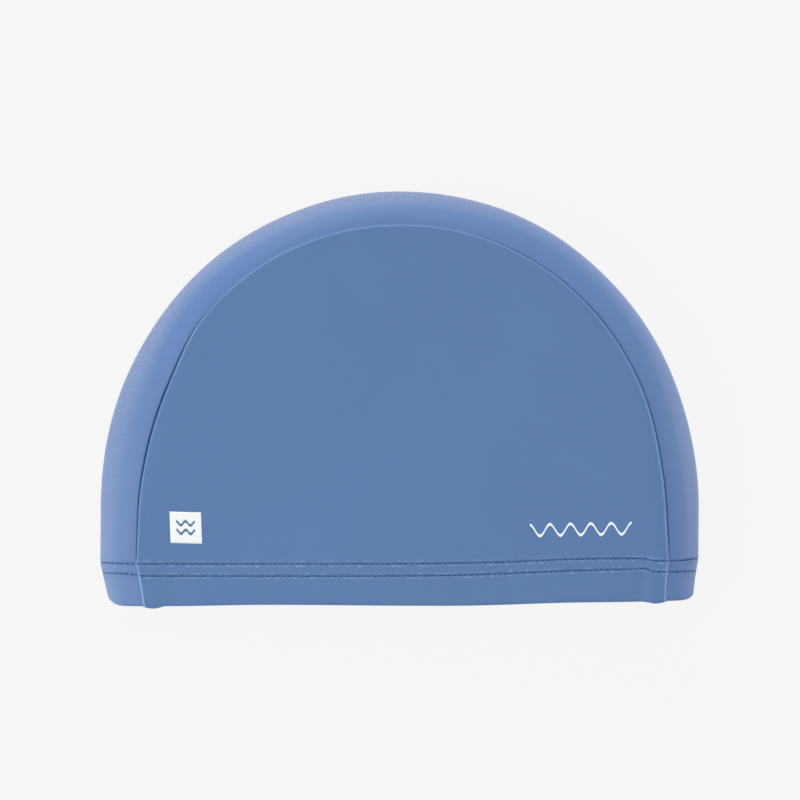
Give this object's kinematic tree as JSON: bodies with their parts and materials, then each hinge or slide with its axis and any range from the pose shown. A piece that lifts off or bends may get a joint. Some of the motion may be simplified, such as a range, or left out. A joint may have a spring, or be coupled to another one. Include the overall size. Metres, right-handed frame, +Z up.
{
  "type": "swim cap",
  "caption": "Stretch-fabric swim cap lying flat on one side: two side panels, a centre strip over the crown, a turned-in hem and an open mouth.",
  "frame": {"origin": "middle of the footprint, on the surface that the cap lies on", "axes": "+X from the cap's front to its back, +Y from the hem to the crown, +Z up out of the side that faces up"},
  "size_m": [0.2392, 0.1665, 0.022],
  "materials": {
    "panel_fabric": "smooth matt coated knit",
    "strip_fabric": "fine ribbed stretch knit with a soft sheen",
    "white_print": "thin satin transfer print"
  },
  "bodies": {
    "root": {"upper_side_panel": "panel_fabric", "under_side_panel": "panel_fabric", "centre_strip": "strip_fabric", "upper_seam_allowance": "panel_fabric", "under_seam_allowance": "panel_fabric", "square_print": "white_print", "wave_print": "white_print"}
  },
  "joints": []
}
